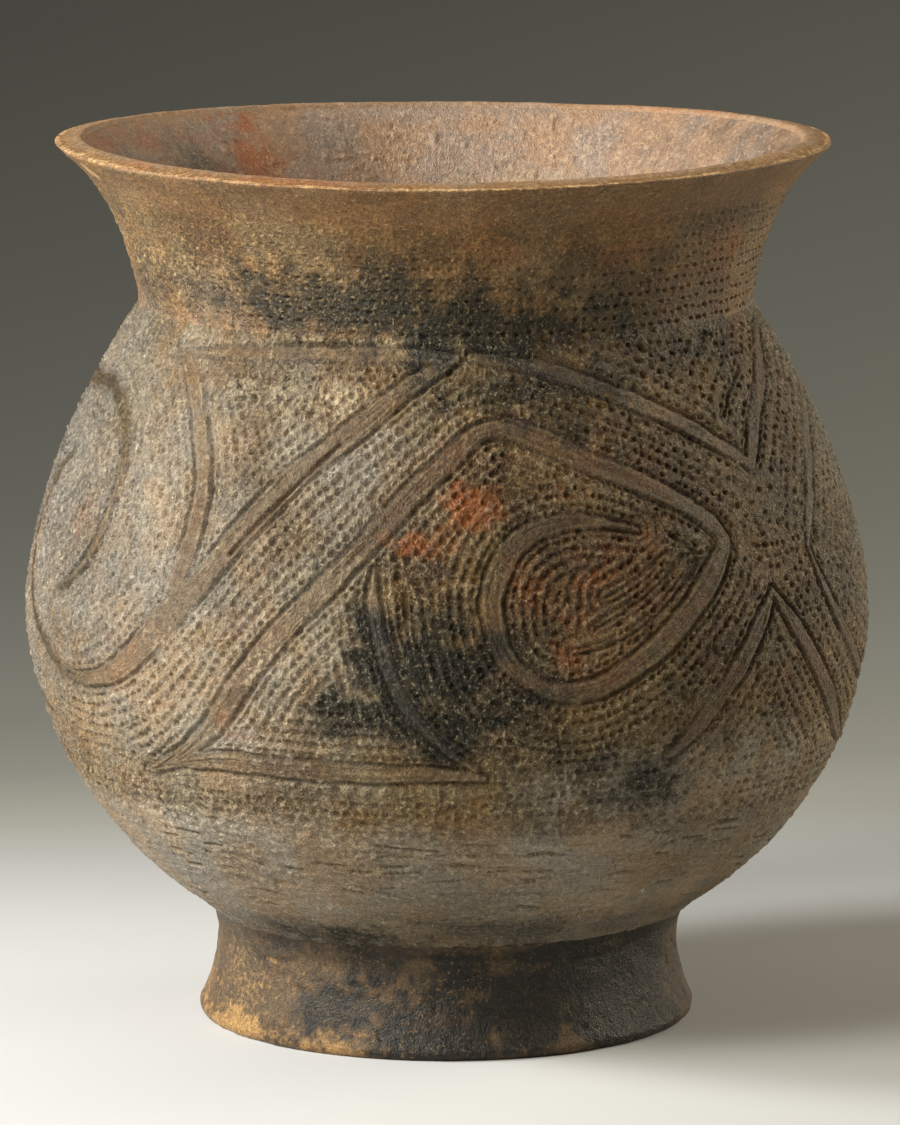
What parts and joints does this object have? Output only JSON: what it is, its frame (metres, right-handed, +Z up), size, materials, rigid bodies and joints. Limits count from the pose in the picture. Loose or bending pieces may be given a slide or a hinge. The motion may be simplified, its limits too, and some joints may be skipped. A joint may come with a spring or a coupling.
{
  "type": "pottery vase",
  "caption": "Hand-built earthenware jar with a round incised body, a pinched-in neck, a wide flaring mouth and a low ring foot.",
  "frame": {"origin": "middle of the circle that the ring foot stands on, at the level of the ground", "axes": "+Z up along the axis of the pot, through the mouth; +X to the right and -Y towards the viewer of the picture"},
  "size_m": [0.2552, 0.2552, 0.2674],
  "materials": {
    "foot_clay": "smoothed low-fired clay, dark brown to black, slightly polished by handling",
    "body_clay": "low-fired grey-brown clay, impressed and incised, matt with smoothed bands",
    "neck_clay": "low-fired tan-brown clay with smoke clouding, matt",
    "lip_clay": "smoothed buff clay, softly shining"
  },
  "bodies": {
    "root": {"ring_foot": "foot_clay", "foot_luting_coil": "foot_clay", "base_bowl": "body_clay", "lower_wall": "body_clay", "belly_wall": "body_clay", "upper_wall": "body_clay", "shoulder": "body_clay", "neck_collar": "neck_clay", "lip": "lip_clay"}
  },
  "joints": []
}
